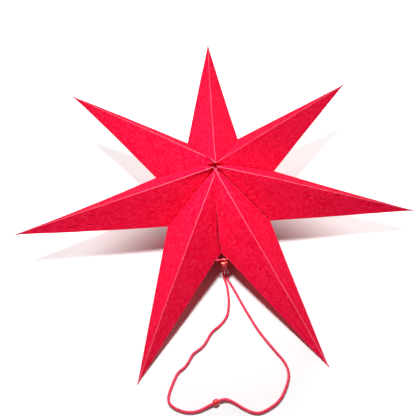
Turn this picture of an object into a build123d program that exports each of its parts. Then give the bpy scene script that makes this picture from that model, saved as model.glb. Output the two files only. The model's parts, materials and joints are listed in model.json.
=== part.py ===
from build123d import *
import math
import os

# Seven-pointed folding paper star lantern, lying on its back as it was put down.
# Lengths are in millimetres and angles in degrees.
# The star is drawn in its own frame, with its axis along Z and the top arm along Y,
# then laid on the floor: it rests on its back pole and on the tips of its two lower arms.

# Star
arm_length = 300.0
star_depth = 143.0
notch_radius = 98.0
paper = 0.4
paste_gap = 0.1
slit_gap = 3.0

# Glue flaps turned inwards along the valleys, and the tab that closes each arm at its back ridge
flap_width = 12.0
flap_clearance = 1.5
tab_width = 10.0

# Cord, its holes and end knots
cord_diameter = 3.6
hole_clearance = 0.7
hole_from_notch = 13.0
hole_depth = 10.0
knot_diameter = 8.0
knot_clearance = 0.3
tie_bend_radius = 3.8
strand_gap = 0.5
strand_foot_height = 8.0

# Bead that cinches the two strands, and the bead on the loop: each has a bore that clears its
# cord, a wall at its ends and a belly that stands further out
cinch_length = 6.5
cinch_bore_clearance = 0.3
cinch_end_wall = 0.8
cinch_belly = 0.9
cinch_mouth_round = 0.7
cinch_tie_clearance = 1.0
loop_bead_length = 7.0
loop_bead_bore_clearance = 0.3
loop_bead_end_wall = 0.9
loop_bead_belly = 1.0
loop_bead_mouth_round = 0.4
floor_clearance = 0.15
bead_floor_clearance = 0.1

# Arms in order, clockwise from the top as seen from the front
arm_names = (
    "arm_top",
    "arm_upper_right",
    "arm_right",
    "arm_lower_right",
    "arm_lower_left",
    "arm_left",
    "arm_upper_left",
)
lower_right = arm_names.index("arm_lower_right")
lower_left = arm_names.index("arm_lower_left")

# Hand-glued arms are never quite even: how far each is turned clockwise, in degrees,
# how far its tip leans to the front, and how far out the valley after it ends
arm_turns = (1.5, 0.5, -1.5, 0.0, -2.5, 0.5, 1.0)
tip_lean_shares = (-0.025, 0.005, 0.01, -0.005, -0.02, 0.04, 0.0)
notch_reach_shares = (1.0, 1.0, 1.02, 1.09, 0.98, 0.95, 0.95)

# Where the cinch bead sits between the left and the right tie hole
cinch_share = 0.655

# Route of the loop from where its strands stop hanging straight down, as (across, towards the
# top of the star, lift) from the point below the cinch bead where a cord lying on the floor has
# its middle. The last point of the left strand and the first of the right one are either side
# of the loop's bead and are raised with it.
left_strand = (
    (-1.0, -8.2, 0.0),
    (2.4, -20.0, 0.0),
    (3.0, -33.0, 0.0),
    (3.2, -46.0, 0.0),
    (0.6, -60.0, 0.0),
    (-8.0, -75.0, 0.0),
    (-22.0, -89.5, 0.0),
    (-33.5, -104.5, 0.0),
    (-48.0, -117.0, 0.0),
    (-62.0, -134.0, 0.0),
    (-74.5, -151.0, 0.0),
    (-82.2, -166.0, 0.0),
    (-84.2, -178.8, 0.0),
    (-75.5, -188.0, 0.0),
    (-62.5, -192.5, 0.0),
    (-48.5, -192.5, 0.0),
    (-34.0, -186.8, -0.4),
)
right_strand = (
    (-14.6, -179.0, 0.4),
    (-4.0, -182.5, 0.6),
    (10.0, -192.5, 0.0),
    (25.0, -199.5, 0.0),
    (41.0, -194.5, 0.0),
    (56.0, -185.0, 0.0),
    (66.0, -170.0, 0.0),
    (72.5, -154.0, 0.0),
    (69.5, -139.0, 0.0),
    (59.0, -124.0, 0.0),
    (48.5, -108.0, 0.0),
    (38.5, -91.0, 0.0),
    (30.0, -72.0, 0.0),
    (21.5, -52.0, 0.0),
    (13.0, -30.0, 0.0),
    (7.6, -18.2, 0.0),
    (2.9, -8.2, 0.0),
)
corner_share = 0.45

up = Vector(0, 0, 1)
arm_count = len(arm_names)
half = 0.5
front_pole = Vector(0, 0, star_depth * half)
back_pole = Vector(0, 0, -star_depth * half)
cord_radius = cord_diameter * half
cord_section = math.pi * cord_radius * cord_radius
knot_radius = knot_diameter * half
knot_flat = math.sqrt(knot_radius * knot_radius - cord_radius * cord_radius)


def azimuth(number):
    """Direction of an arm about the star's axis, falling clockwise from the top arm."""
    return 90 - 360 * number / arm_count - arm_turns[number]


def around(angle, radius, height):
    """Point at a direction, distance and height about the star's axis."""
    turned = math.radians(angle)
    return Vector(radius * math.cos(turned), radius * math.sin(turned), height)


def tip(number):
    """Outer point of an arm."""
    return around(azimuth(number), arm_length, arm_length * tip_lean_shares[number])


def notch(number, side):
    """Valley point between an arm and the next, on the side of the lower (-1) or higher (1) arm.

    At the slit the two arms are not glued, so each has its own point, set back by half the gap.
    """
    following = (number + 1) % arm_count
    next_azimuth = azimuth(following) - (360 if following == 0 else 0)
    middle = (azimuth(number) + next_azimuth) * half
    radius = notch_radius * notch_reach_shares[number]
    lean = (tip_lean_shares[number] + tip_lean_shares[following]) * half
    opening = slit_gap * half if number == lower_right else 0
    shift = math.degrees(opening / radius)
    return around(middle - side * shift, radius, radius * lean)


def plate(corners, inward, thickness, lift=0):
    """Flat sheet on the given corners, reaching inwards from a lift below its outer face."""
    outline = Polyline(*[corner + inward * lift for corner in corners], close=True)
    return Solid.extrude(make_face(outline).face(), inward * thickness)


def flap(start, end, inside, angle_at_start, angle_at_end, width, inward, lift=0):
    """Strip along an edge, narrowed at both ends so that it clears what meets it there."""
    along = (end - start).normalized()
    reach = inside - start
    across = (reach - along * reach.dot(along)).normalized()
    first = flap_clearance / math.sin(math.radians(angle_at_start))
    last = flap_clearance / math.sin(math.radians(angle_at_end))
    first_taper = width / math.tan(math.radians(angle_at_start))
    last_taper = width / math.tan(math.radians(angle_at_end))
    corners = (
        start + along * first,
        end - along * last,
        end - along * (last + last_taper) + across * width,
        start + along * (first + first_taper) + across * width,
    )
    return plate(corners, inward, paper, lift)


def angle_at(corner, one, other):
    """Angle at a corner between the ways to two other points."""
    return (one - corner).get_angle(other - corner)


def arm(number):
    """One arm: a folded sheet of four long faces, open towards the star's middle."""
    point = tip(number)
    before = notch(number - 1 if number else arm_count - 1, 1)
    after = notch(number, -1)
    seat = around(azimuth(number), paste_gap * half / math.sin(math.pi / arm_count), 0)
    outer = Solid(Shell(pyramid_faces(point, before, after)))
    middle = (point + before + after) * (1 / 3)
    sheets = []
    for valley in (before, after):
        for pole in (front_pole, back_pole):
            face_normal = (pole - point).cross(valley - point).normalized()
            inward = face_normal if face_normal.dot(middle - point) > 0 else -face_normal
            sheets.append(plate((point, pole, valley), inward, paper))
        other = after if valley is before else before
        web_normal = front_pole.cross(valley).normalized()
        inward = web_normal if web_normal.dot(other) > 0 else -web_normal
        for pole, opposite in ((front_pole, back_pole), (back_pole, front_pole)):
            at_pole = angle_at(pole, valley, opposite)
            at_valley = angle_at(valley, pole, opposite) * half
            sheets.append(flap(pole, valley, opposite, at_pole, at_valley, flap_width, inward))
    ridge_normal = (back_pole - point).cross(after - point).normalized()
    inward = ridge_normal if ridge_normal.dot(middle - point) > 0 else -ridge_normal
    at_tip = angle_at(point, back_pole, after)
    at_pole = angle_at(back_pole, point, after)
    sheets.append(flap(point, back_pole, after, at_tip, at_pole, tab_width, inward, paper))
    folded = sheets[0].fuse(*sheets[1:]) & outer
    return Location(seat) * folded.solid()


def pyramid_faces(point, before, after):
    """Faces of the closed space that an arm wraps: four outside and two towards the axis."""
    corners = (
        (point, front_pole, before),
        (point, before, back_pole),
        (point, back_pole, after),
        (point, after, front_pole),
        (front_pole, back_pole, before),
        (front_pole, after, back_pole),
    )
    return [make_face(Polyline(*triangle, close=True)).face() for triangle in corners]


def lay_down(arms):
    """Place that sets the star on its back pole and two lower tips, centred over the origin."""
    one = tip(lower_right) - back_pole
    other = tip(lower_left) - back_pole
    floor_normal = other.cross(one).normalized()
    if floor_normal.dot(up) < 0:
        floor_normal = -floor_normal
    sideways = Vector(0, 1, 0).cross(floor_normal).normalized()
    floor = Plane(origin=back_pole, x_dir=sideways, z_dir=floor_normal)
    turned = floor.location.inverse()
    box = Compound([turned * piece for piece in arms]).bounding_box()
    middle = box.center()
    return Location((-middle.X, -middle.Y, -box.min.Z)) * turned


def crease_point(place, number, side, arm_number):
    """Point on the side crease of an arm where its tie hole is punched, on the laid star."""
    valley = notch(number, side)
    towards_tip = (tip(arm_number) - valley).normalized()
    point = valley + towards_tip * hole_from_notch
    return (place * Location(point)).position


def route_tube(points, radii):
    """Round cord along straight runs joined by tangent arcs."""
    path = FilletPolyline(*points, radius=radii)
    start = Plane(origin=points[0], z_dir=(points[1] - points[0]).normalized())
    section = start * Circle(cord_radius)
    return sweep(section, path=path).solid(), path.length


def corner_radii(points, name):
    """Radius of each inner corner, as large as its two runs allow, printed with its turn."""
    radii = []
    for before, point, after in zip(points, points[1:], points[2:]):
        turn = (point - before).get_angle(after - point)
        run = min((point - before).length, (after - point).length)
        radius = corner_share * run / math.tan(math.radians(turn * half))
        print(f"{name} corner {point.X:.1f} {point.Y:.1f} turn {turn:.1f} radius {radius:.1f}")
        radii.append(radius)
    return radii


def bead(bore_radius, length, end_wall, belly, mouth_round):
    """Barrel-shaped bead on the Z axis with a rounded bore."""
    end = bore_radius + end_wall
    tall = length * half
    profile = Polyline((bore_radius, -tall), (end, -tall))
    profile += ThreePointArc((end, -tall), (end + belly, 0), (end, tall))
    profile += Polyline((end, tall), (bore_radius, tall), (bore_radius, -tall))
    turned = revolve(make_face(Plane.XZ * profile), Axis.Z)
    rims = turned.edges().filter_by(GeomType.CIRCLE)
    mouths = rims.filter_by(lambda edge: edge.radius < bore_radius + end_wall * half)
    return fillet(mouths, mouth_round).solid()


def knot_centre(place, number, side, arm_number, away):
    """Middle of the stopper knot that the cord draws up against the paper inside an arm."""
    crease = crease_point(place, number, side, arm_number)
    reaches = []
    for pole in (front_pole, back_pole):
        face_normal = (pole - tip(arm_number)).cross(notch(number, side) - tip(arm_number))
        turned = (place * Location(face_normal)).position - place.position
        slope = abs(turned.normalized().dot(away))
        reaches.append((knot_radius + paper + knot_clearance) / slope)
    return crease + away * max(reaches)


def knot(centre, away):
    """Round stopper knot whose flat side meets the end of the cord."""
    profile = Polyline((0, -knot_radius), (0, knot_flat), (cord_radius, knot_flat))
    profile += ThreePointArc((cord_radius, knot_flat), (knot_radius, 0), (0, -knot_radius))
    ball = revolve(make_face(Plane.XZ * profile), Axis.Z)
    return (Plane(origin=centre, z_dir=-away).location * ball).solid()


def hole(point, along):
    """Cutter for a tie hole, round when it is seen along the cord."""
    start = Plane(origin=point - along * hole_depth, z_dir=along)
    return extrude(start * Circle(cord_radius + hole_clearance), amount=hole_depth + hole_depth)


def tie_end(name, knot_face, corner, bottom):
    """Short stretch from an end knot, through the paper and over into the cinch bead."""
    tube, length = route_tube((knot_face, corner, bottom), [tie_bend_radius])
    print(f"{name} length {length:.1f} volume {tube.volume:.0f} of {length * cord_section:.0f}")
    return tube


os.makedirs("parts", exist_ok=True)

flat_arms = [arm(number) for number in range(arm_count)]
laid = lay_down(flat_arms)
nodes = {name: (laid * piece).solid() for name, piece in zip(arm_names, flat_arms)}

# Tie holes, through the side creases beside the slit
left_hole = crease_point(laid, lower_right, 1, lower_left)
right_hole = crease_point(laid, lower_right, -1, lower_right)
across = (right_hole - left_hole).normalized()
nodes["arm_lower_left"] = (nodes["arm_lower_left"] - hole(left_hole, across)).solid()
nodes["arm_lower_right"] = (nodes["arm_lower_right"] - hole(right_hole, across)).solid()

# Cinch bead, hanging below the line between the holes, and the two strands through it
over_bead = left_hole + (right_hole - left_hole) * cinch_share
strand_offset = (cord_diameter + strand_gap) * half
cinch_bore_radius = strand_offset + cord_radius + cinch_bore_clearance
cinch_centre = over_bead - up * (cord_radius + cinch_tie_clearance + cinch_length * half)
nodes["cinch_bead"] = Plane(origin=cinch_centre).location * bead(
    cinch_bore_radius, cinch_length, cinch_end_wall, cinch_belly, cinch_mouth_round
)
left_turn = over_bead - across * strand_offset
right_turn = over_bead + across * strand_offset
meeting_height = over_bead.Z - tie_bend_radius - cord_radius
left_meeting = Vector(left_turn.X, left_turn.Y, meeting_height)
right_meeting = Vector(right_turn.X, right_turn.Y, meeting_height)
left_knot = knot_centre(laid, lower_right, 1, lower_left, -across)
right_knot = knot_centre(laid, lower_right, -1, lower_right, across)
left_end = left_knot + across * knot_flat
right_end = right_knot - across * knot_flat
nodes["tie_end_left"] = tie_end("tie_end_left", left_end, left_turn, left_meeting)
nodes["tie_end_right"] = tie_end("tie_end_right", right_end, right_turn, right_meeting)
nodes["knot_left"] = knot(left_knot, -across)
nodes["knot_right"] = knot(right_knot, across)

# Hanging loop, down from the bead and round on the floor
below_bead = Vector(over_bead.X, over_bead.Y, cord_radius + floor_clearance)
strand_foot = below_bead + up * strand_foot_height
loop_bead_bore_radius = cord_radius + loop_bead_bore_clearance
loop_bead_radius = loop_bead_bore_radius + loop_bead_end_wall + loop_bead_belly
bead_lift = up * (loop_bead_radius + bead_floor_clearance - below_bead.Z)
left_points = [left_meeting, strand_foot - across * strand_offset]
left_points += [below_bead + Vector(*step) for step in left_strand]
right_points = [below_bead + Vector(*step) for step in right_strand]
right_points += [strand_foot + across * strand_offset, right_meeting]
left_points[-1] += bead_lift
right_points[0] += bead_lift
loop_points = left_points + right_points
loop_tube, loop_length = route_tube(loop_points, corner_radii(loop_points, "hanging_loop"))
nodes["hanging_loop"] = loop_tube
print(f"hanging_loop length {loop_length:.1f}")
print(f"hanging_loop volume {loop_tube.volume:.0f} of {loop_length * cord_section:.0f}")

# Bead on the loop, halfway along the run that it sits on
bead_start = left_points[-1]
bead_end = right_points[0]
bead_middle = (bead_start + bead_end) * half
bead_along = (bead_end - bead_start).normalized()
nodes["loop_bead"] = Plane(origin=bead_middle, z_dir=bead_along).location * bead(
    loop_bead_bore_radius, loop_bead_length, loop_bead_end_wall, loop_bead_belly, loop_bead_mouth_round
)

for name, solid in nodes.items():
    export_step(solid, f"parts/{name}.step")
    print(name, f"{solid.volume:.0f}")

hinge_point = (laid * Location(back_pole)).position
hinge_top = (laid * Location(front_pole)).position
hinge_axis = (hinge_point - hinge_top).normalized()
print("hinge point", hinge_point, "axis", hinge_axis)
print("arm directions", [round(azimuth(number), 1) for number in range(arm_count)])
print("holes", left_hole, right_hole, "cinch", cinch_centre)
print("loop bead", bead_middle, "along", bead_along)
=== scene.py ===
"""Looks of the folding paper star lantern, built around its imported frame."""
import json
import logging
import math
from dataclasses import dataclass, field
from enum import Enum

import bmesh
import bpy
import numpy as np
from mathutils import Matrix, Vector, noise


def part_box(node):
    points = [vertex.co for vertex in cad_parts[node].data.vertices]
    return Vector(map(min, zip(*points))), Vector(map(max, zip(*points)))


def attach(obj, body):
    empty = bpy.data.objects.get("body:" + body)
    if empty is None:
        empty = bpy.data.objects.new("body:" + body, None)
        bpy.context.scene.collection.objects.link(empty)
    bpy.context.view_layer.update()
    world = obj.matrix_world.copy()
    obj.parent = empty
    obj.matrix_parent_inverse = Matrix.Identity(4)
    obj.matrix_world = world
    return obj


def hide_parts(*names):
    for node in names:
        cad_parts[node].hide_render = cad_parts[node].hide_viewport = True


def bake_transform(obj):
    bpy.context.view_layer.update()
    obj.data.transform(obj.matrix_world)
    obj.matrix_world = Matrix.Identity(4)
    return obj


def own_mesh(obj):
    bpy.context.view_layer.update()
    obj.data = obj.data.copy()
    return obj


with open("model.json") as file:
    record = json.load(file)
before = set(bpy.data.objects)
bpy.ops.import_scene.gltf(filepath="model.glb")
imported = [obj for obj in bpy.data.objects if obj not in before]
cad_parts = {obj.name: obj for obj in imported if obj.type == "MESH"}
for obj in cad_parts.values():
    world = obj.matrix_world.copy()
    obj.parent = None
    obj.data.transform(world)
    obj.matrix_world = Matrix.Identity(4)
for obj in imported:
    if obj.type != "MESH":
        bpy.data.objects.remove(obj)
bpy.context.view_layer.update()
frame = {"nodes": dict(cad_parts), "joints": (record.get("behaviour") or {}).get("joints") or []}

MM = 0.001
HALF = 0.5
UP = Vector((0, 0, 1))
Colour = tuple[float, float, float]

log = logging.getLogger("paper_star")


class Slot(Enum):
    """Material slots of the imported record."""

    PAPER = "star_paper"
    CORD = "cord"
    BEAD = "bead"


class Fold(Enum):
    """Mesh attributes that hold how far a point of the paper lies from a kind of fold, in metres."""

    RIDGE = "ridge_gap"
    SIDE = "side_gap"
    VALLEY = "valley_gap"


class Ray(Enum):
    """The four folds of an arm that run to its tip, in the order in which the sheet meets them."""

    BACK = 0
    BEFORE = 1
    FRONT = 2
    AFTER = 3


def smooth_step(share: float) -> float:
    """Eases a share from 0 to 1, held at both ends."""
    held = min(max(share, 0.0), 1.0)
    return held * held * (3 - 2 * held)


def mesh_object(name: str, vertices: list, faces: list) -> bpy.types.Object:
    """Makes a mesh object in the scene.

    Args:
        name: the piece's name.
        vertices: its points, in metres.
        faces: the point numbers of each face.

    Returns:
        The new object, at the origin.
    """
    mesh = bpy.data.meshes.new(name)
    mesh.from_pydata([tuple(point) for point in vertices], [], faces)
    mesh.update()
    made = bpy.data.objects.new(name, mesh)
    bpy.context.scene.collection.objects.link(made)
    return made


def apply_modifiers(piece: bpy.types.Object) -> None:
    """Turns a piece's modifiers into its own mesh."""
    graph = bpy.context.evaluated_depsgraph_get()
    shaped = bpy.data.meshes.new_from_object(piece.evaluated_get(graph))
    piece.modifiers.clear()
    piece.data = shaped


def dress(piece: bpy.types.Object, *materials: bpy.types.Material) -> None:
    """Puts materials on a piece in place of its own."""
    piece.data.materials.clear()
    for material in materials:
        piece.data.materials.append(material)


class NodeBench:
    """Adds and joins the nodes of one shader tree."""

    def __init__(self, tree: bpy.types.NodeTree) -> None:
        """Starts work on a tree."""
        self.tree = tree

    def add(self, kind: str, inputs: dict | None = None, **settings: object) -> bpy.types.Node:
        """Adds a node.

        Args:
            kind: the node's type.
            inputs: values or source sockets for its inputs, by name or number.
            settings: properties of the node.

        Returns:
            The new node.
        """
        node = self.tree.nodes.new(kind)
        for key, value in settings.items():
            setattr(node, key, value)
        for key, value in (inputs or {}).items():
            if isinstance(value, bpy.types.NodeSocket):
                self.tree.links.new(value, node.inputs[key])
            else:
                node.inputs[key].default_value = value
        return node

    def math(self, operation: str, *values: object) -> bpy.types.NodeSocket:
        """Adds a Math node and returns its result."""
        node = self.add("ShaderNodeMath", dict(enumerate(values)), operation=operation)
        return node.outputs[0]

    def mix(self, share: object, first: object, second: object) -> bpy.types.NodeSocket:
        """Mixes two colours and returns the result."""
        inputs = {0: share, 6: first, 7: second}
        node = self.add("ShaderNodeMix", inputs, data_type="RGBA")
        return node.outputs[2]

    def ramp(self, value: object, low: float, high: float, start: float = 0.0, end: float = 1.0) -> object:
        """Maps a value from low and high to start and end, eased and held at both ends."""
        inputs = {"Value": value, "From Min": low, "From Max": high, "To Min": start, "To Max": end}
        node = self.add("ShaderNodeMapRange", inputs, interpolation_type="SMOOTHSTEP")
        return node.outputs["Result"]

    def noise(self, vector: object, scale: object, detail: float = 2.0) -> bpy.types.NodeSocket:
        """Adds a noise texture and returns its value."""
        inputs = {"Vector": vector, "Scale": scale, "Detail": detail}
        return self.add("ShaderNodeTexNoise", inputs).outputs[0]

    def turned(self, vector: object, angle: float, stretch: float) -> bpy.types.NodeSocket:
        """Turns a flat vector by an angle in degrees, and draws out what lies along it."""
        inputs = {"Vector": vector, "Rotation": (0, 0, math.radians(angle)), "Scale": (stretch, 1, 1)}
        return self.add("ShaderNodeMapping", inputs, vector_type="TEXTURE").outputs[0]


class EffectGroup:
    """A shader effect that several finishes share, as a node group with named sockets."""

    def __init__(self, name: str, inputs: dict[str, tuple], outputs: tuple[str, ...]) -> None:
        """Makes the group's sockets.

        Args:
            name: the group's name.
            inputs: socket type and default value of each input, by name.
            outputs: names of the outputs, which are all values.
        """
        self.tree = bpy.data.node_groups.new(name, "ShaderNodeTree")
        for label, (kind, value) in inputs.items():
            socket = self.tree.interface.new_socket(label, in_out="INPUT", socket_type=kind)
            if value is not None:
                socket.default_value = value
        for label in outputs:
            self.tree.interface.new_socket(label, in_out="OUTPUT", socket_type="NodeSocketFloat")
        self.bench = NodeBench(self.tree)
        self.entry = self.bench.add("NodeGroupInput").outputs
        self.exit = self.bench.add("NodeGroupOutput").inputs

    def give(self, label: str, source: bpy.types.NodeSocket) -> None:
        """Joins a result to one of the group's outputs."""
        self.tree.links.new(source, self.exit[label])

    def place(self, bench: NodeBench, inputs: dict) -> bpy.types.NodeOutputs:
        """Places the group in a material and returns its outputs."""
        return bench.add("ShaderNodeGroup", inputs, node_tree=self.tree).outputs


def felted_fibre() -> EffectGroup:
    """Cloudy dye, short matted fibres and small pits, as in handmade paper or spun yarn."""
    group = EffectGroup(
        "felted_fibre",
        {
            "Vector": ("NodeSocketVector", None),
            "Cloud Scale": ("NodeSocketFloat", 90.0),
            "Fibre Scale": ("NodeSocketFloat", 260.0),
        },
        ("Cloud", "Fibre", "Pits", "Height"),
    )
    bench, entry = group.bench, group.entry
    cloud = bench.ramp(bench.noise(entry["Vector"], entry["Cloud Scale"], 4.0), 0.34, 0.66)
    strands = []
    for angle, stretch in ((38, 3.0), (-61, 2.5), (8, 3.5)):
        along = bench.turned(entry["Vector"], angle, stretch)
        strands.append(bench.ramp(bench.noise(along, entry["Fibre Scale"]), 0.54, 0.78))
    fibre = bench.math("MAXIMUM", bench.math("MAXIMUM", strands[0], strands[1]), strands[2])
    pit_scale = bench.math("MULTIPLY", entry["Cloud Scale"], 1.9)
    pits = bench.ramp(bench.noise(entry["Vector"], pit_scale, 1.0), 0.60, 0.72)
    fine = bench.noise(entry["Vector"], bench.math("MULTIPLY", entry["Fibre Scale"], 3.0), 3.0)
    raised = bench.math("ADD", bench.math("MULTIPLY", cloud, 0.6), bench.math("MULTIPLY", fibre, 0.25))
    raised = bench.math("ADD", raised, bench.math("MULTIPLY", fine, 0.3))
    group.give("Cloud", cloud)
    group.give("Fibre", fibre)
    group.give("Pits", pits)
    group.give("Height", bench.math("SUBTRACT", raised, bench.math("MULTIPLY", pits, 0.5)))
    return group


def worn_fold() -> EffectGroup:
    """Line along a fold, for the paler line on ridges and creases and for the painted shade along valleys."""
    group = EffectGroup(
        "worn_fold",
        {
            "Gap": ("NodeSocketFloat", 1.0),
            "Width": ("NodeSocketFloat", 0.001),
            "Vector": ("NodeSocketVector", None),
            "Evenness": ("NodeSocketFloat", 0.6),
        },
        ("Mask",),
    )
    bench, entry = group.bench, group.entry
    share = bench.math("DIVIDE", entry["Gap"], entry["Width"])
    line = bench.ramp(share, 0.35, 1.0, 1.0, 0.0)
    patches = bench.ramp(bench.noise(entry["Vector"], 120.0, 3.0), 0.3, 0.62)
    kept = bench.math("MAXIMUM", patches, entry["Evenness"])
    group.give("Mask", bench.math("MULTIPLY", line, kept))
    return group


def pressed_dimples() -> EffectGroup:
    """Small crescents pressed into the sheet, one in each cell of an uneven grid."""
    group = EffectGroup(
        "pressed_dimples",
        {"Vector": ("NodeSocketVector", None), "Scale": ("NodeSocketFloat", 70.0)},
        ("Height",),
    )
    bench, entry = group.bench, group.entry
    cells = bench.add(
        "ShaderNodeTexVoronoi",
        {"Vector": entry["Vector"], "Scale": entry["Scale"], "Randomness": 0.7},
    ).outputs
    ring = bench.ramp(cells["Distance"], 0.16, 0.27)
    rim = bench.ramp(cells["Distance"], 0.27, 0.4, 1.0, 0.0)
    tint = bench.add("ShaderNodeSeparateColor", {"Color": cells["Color"]}).outputs[0]
    chosen = bench.ramp(tint, 0.45, 0.55)
    band = bench.math("MULTIPLY", bench.math("MULTIPLY", ring, rim), chosen)
    way = bench.add("ShaderNodeSeparateXYZ", {"Vector": bench.turned(entry["Vector"], 30, 1.0)}).outputs[1]
    middle = bench.add("ShaderNodeSeparateXYZ", {"Vector": bench.turned(cells["Position"], 30, 1.0)}).outputs[1]
    upper = bench.ramp(bench.math("SUBTRACT", way, middle), 0.0, 0.002)
    group.give("Height", bench.math("MULTIPLY", band, upper))
    return group


@dataclass(frozen=True)
class SheetEffects:
    """The shared effect groups, built once."""

    fibre: EffectGroup
    fold: EffectGroup
    dimples: EffectGroup


@dataclass(frozen=True)
class DyedPaper:
    """Handmade paper dyed right through, matt, with paler lines along its ridges and creases and painted shade along
    its valleys.
    """

    name: str = "dyed_paper"
    dye: Colour = (0.90, 0.0062, 0.052)
    dye_deep: Colour = (0.82, 0.0006, 0.034)
    dye_light: Colour = (0.95, 0.042, 0.108)
    dye_pit: Colour = (0.76, 0.001, 0.028)
    pale_fold: Colour = (0.92, 0.20, 0.30)
    shade: Colour = (0.16, 0.0005, 0.006)
    roughness: float = 0.88
    specular: float = 0.05
    broad_scale: float = 34.0
    ridge_width: float = 1.0 * MM
    side_width: float = 0.8 * MM
    valley_width: float = 0.55 * MM
    bump_strength: float = 0.42
    bump_height: float = 0.5 * MM
    cloud_scale: float = 150.0
    fibre_scale: float = 360.0
    dimple_scale: float = 62.0

    def material(self, effects: SheetEffects) -> bpy.types.Material:
        """Builds the material on the flat sheet's own coordinates."""
        made = bpy.data.materials.new(self.name)
        made.use_nodes = True
        bench = NodeBench(made.node_tree)
        shader = made.node_tree.nodes["Principled BSDF"]
        shader.inputs["Specular IOR Level"].default_value = self.specular
        sheet = bench.add("ShaderNodeUVMap", uv_map="sheet").outputs[0]
        felt = effects.fibre.place(
            bench, {"Vector": sheet, "Cloud Scale": self.cloud_scale, "Fibre Scale": self.fibre_scale}
        )
        broad = bench.ramp(bench.noise(sheet, self.broad_scale, 2.0), 0.3, 0.7, -0.28, 0.28)
        depth = bench.math("ADD", felt["Cloud"], broad)
        base = bench.mix(bench.math("MAXIMUM", depth, 0.0), (*self.dye_deep, 1), (*self.dye, 1))
        base = bench.mix(bench.math("MULTIPLY", felt["Fibre"], 0.6), base, (*self.dye_light, 1))
        base = bench.mix(bench.math("MULTIPLY", felt["Pits"], 0.5), base, (*self.dye_pit, 1))
        # Ridges and side creases get a paler line; the valleys get painted shade, standing in for the shadow in the
        # narrow gap between two arms.
        folds = (
            (Fold.RIDGE, self.ridge_width, 0.8, self.pale_fold),
            (Fold.SIDE, self.side_width, 0.5, self.pale_fold),
            (Fold.VALLEY, self.valley_width, 0.55, self.shade),
        )
        for fold, width, strength, colour in folds:
            gap = bench.add("ShaderNodeAttribute", attribute_name=fold.value).outputs["Fac"]
            line = effects.fold.place(bench, {"Gap": gap, "Width": width, "Vector": sheet, "Evenness": 0.7})
            base = bench.mix(bench.math("MULTIPLY", line["Mask"], strength), base, (*colour, 1))
        bench.tree.links.new(base, shader.inputs["Base Color"])
        rough = bench.ramp(felt["Cloud"], 0.0, 1.0, self.roughness - 0.06, self.roughness + 0.04)
        bench.tree.links.new(rough, shader.inputs["Roughness"])
        dimples = effects.dimples.place(bench, {"Vector": sheet, "Scale": self.dimple_scale})["Height"]
        height = bench.math("ADD", felt["Height"], bench.math("MULTIPLY", dimples, -3.2))
        inputs = {"Height": height, "Strength": self.bump_strength, "Distance": self.bump_height}
        bump = bench.add("ShaderNodeBump", inputs).outputs[0]
        bench.tree.links.new(bump, shader.inputs["Normal"])
        return made


@dataclass(frozen=True)
class SatinYarn:
    """Twisted satin yarn of the cord, each strand with its own fine filaments."""

    name: str = "satin_yarn"
    dye: Colour = (0.88, 0.022, 0.085)
    dye_deep: Colour = (0.68, 0.006, 0.036)
    dye_light: Colour = (0.96, 0.075, 0.175)
    roughness: float = 0.46
    sheen: float = 0.12
    filament_scale: float = 5200.0

    def material(self, effects: SheetEffects) -> bpy.types.Material:
        """Builds the material on each strand's length and girth."""
        made = bpy.data.materials.new(self.name)
        made.use_nodes = True
        bench = NodeBench(made.node_tree)
        shader = made.node_tree.nodes["Principled BSDF"]
        shader.inputs["Sheen Weight"].default_value = self.sheen
        shader.inputs["Sheen Roughness"].default_value = 0.4
        strand = bench.add("ShaderNodeUVMap", uv_map="strand").outputs[0]
        felt = effects.fibre.place(bench, {"Vector": strand, "Cloud Scale": 160.0, "Fibre Scale": 900.0})
        filaments = bench.noise(bench.turned(strand, 0, 14), self.filament_scale, 1.0)
        base = bench.mix(bench.ramp(filaments, 0.35, 0.6), (*self.dye_deep, 1), (*self.dye, 1))
        base = bench.mix(bench.math("MULTIPLY", felt["Cloud"], 0.5), base, (*self.dye_light, 1))
        bench.tree.links.new(base, shader.inputs["Base Color"])
        rough = bench.ramp(felt["Cloud"], 0.0, 1.0, self.roughness - 0.08, self.roughness + 0.1)
        bench.tree.links.new(rough, shader.inputs["Roughness"])
        height = bench.math("ADD", bench.math("MULTIPLY", felt["Height"], 0.4), filaments)
        inputs = {"Height": height, "Strength": 0.5, "Distance": 0.15 * MM}
        bump = bench.add("ShaderNodeBump", inputs).outputs[0]
        bench.tree.links.new(bump, shader.inputs["Normal"])
        return made


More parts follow.
